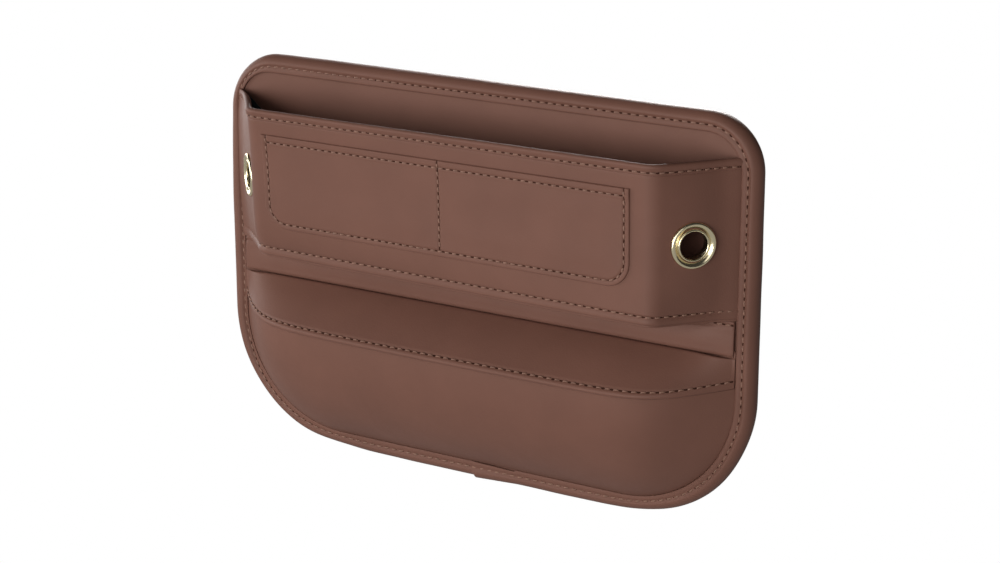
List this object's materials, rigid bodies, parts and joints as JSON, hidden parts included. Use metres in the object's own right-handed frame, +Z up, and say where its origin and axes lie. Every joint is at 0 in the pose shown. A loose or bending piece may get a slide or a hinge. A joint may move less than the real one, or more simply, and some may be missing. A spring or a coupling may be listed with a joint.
{
  "type": "wall organiser",
  "caption": "Padded D-shaped organiser panel with a rolled rim, a deep upper pocket with card slots and cable eyelets, a slot flap and a lower compartment.",
  "frame": {"origin": "centre of the flat back face", "axes": "+X to the right seen from the front, -Y out of the front, +Z up"},
  "size_m": [0.34, 0.0485, 0.232],
  "materials": {
    "leather": "smooth matt brown leatherette with a fine grain",
    "lining": "black woven cloth",
    "thread": "tan bonded thread",
    "brass": "polished pale gold",
    "board": "pressed fibre board",
    "foam": "soft foam",
    "plastic": "thin stiffener sheet"
  },
  "bodies": {
    "root": {"back_cover": "leather", "stiffener_board": "board", "padding_foam": "foam", "panel_face": "leather", "edge_cord": "foam", "edge_binding": "leather", "rim_thread_front": "thread", "rim_thread_back": "thread", "upper_pocket_wall": "leather", "pocket_wall_stiffener": "plastic", "upper_pocket_lining": "lining", "upper_pocket_base": "leather", "mouth_hem_strip": "leather", "mouth_thread": "thread", "ridge_thread": "thread", "card_patch": "leather", "card_outline_thread": "thread", "card_top_thread": "thread", "card_divider_thread": "thread", "eyelet_left": "brass", "eyelet_right": "brass", "eyelet_washer_left": "brass", "eyelet_washer_right": "brass", "flap_seam_strip": "leather", "flap_thread": "thread", "lower_pocket_top": "leather", "lower_pocket_front": "leather", "lower_pocket_lining": "lining", "lower_ridge_thread": "thread"},
    "flap": {"slot_flap": "leather"}
  },
  "joints": [
    {"name": "flap_lift", "type": "hinge", "parent": "root", "child": "flap", "pos_m": [0, -0.0126, 0.0015], "axis": [-1, 0, 0], "range_deg": [0, 80]}
  ]
}
